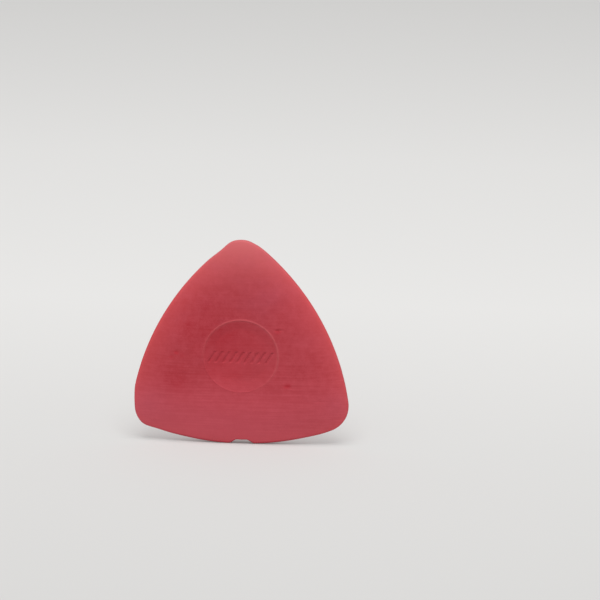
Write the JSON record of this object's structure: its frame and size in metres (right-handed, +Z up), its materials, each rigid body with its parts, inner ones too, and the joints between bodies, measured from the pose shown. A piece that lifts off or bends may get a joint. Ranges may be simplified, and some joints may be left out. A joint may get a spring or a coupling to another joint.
{
  "type": "tailor's chalk",
  "caption": "Triangular tablet of pressed tailor's chalk with bowed sides, thin marking edges, a round thumb dish and a small notch in its lower edge.",
  "frame": {"origin": "on the surface that the chalk stands on, under the middle of the tablet", "axes": "+Z up to the pointed corner, +X to the right of someone who faces the dished front, +Y out of the plain back"},
  "size_m": [0.058, 0.0061, 0.0561],
  "materials": {
    "pressed_chalk": "matte"
  },
  "bodies": {
    "root": {"chalk_tablet": "pressed_chalk"}
  },
  "joints": []
}
